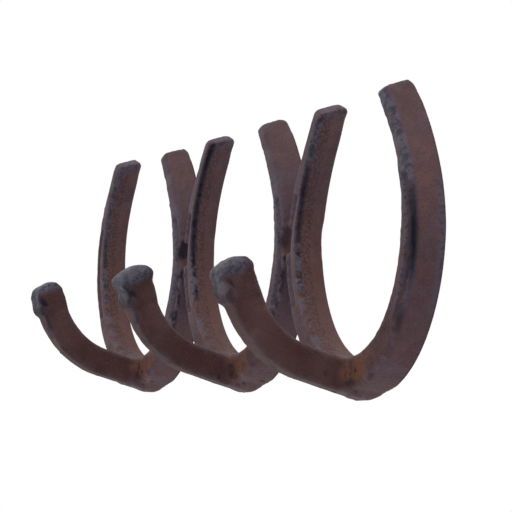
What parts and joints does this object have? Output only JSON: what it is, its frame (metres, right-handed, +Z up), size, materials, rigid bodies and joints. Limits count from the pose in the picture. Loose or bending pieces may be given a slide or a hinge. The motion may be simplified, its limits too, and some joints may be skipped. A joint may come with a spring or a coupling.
{
  "type": "horseshoe wall hook",
  "caption": "Rust-brown cast iron wall rack of joined horseshoes, open ends up, each with an upturned hook at its toe for coats or tack.",
  "frame": {"origin": "on the wall plane, midway between the two screw holes", "axes": "+X along the row of shoes to the right as seen from the room, +Y into the wall, +Z up"},
  "size_m": [0.2651, 0.0543, 0.0952],
  "materials": {
    "rusted_iron": "matt rust-brown sand-cast finish, dark and worn at the edges"
  },
  "bodies": {
    "root": {"horseshoe_hook_rack": "rusted_iron"}
  },
  "joints": []
}
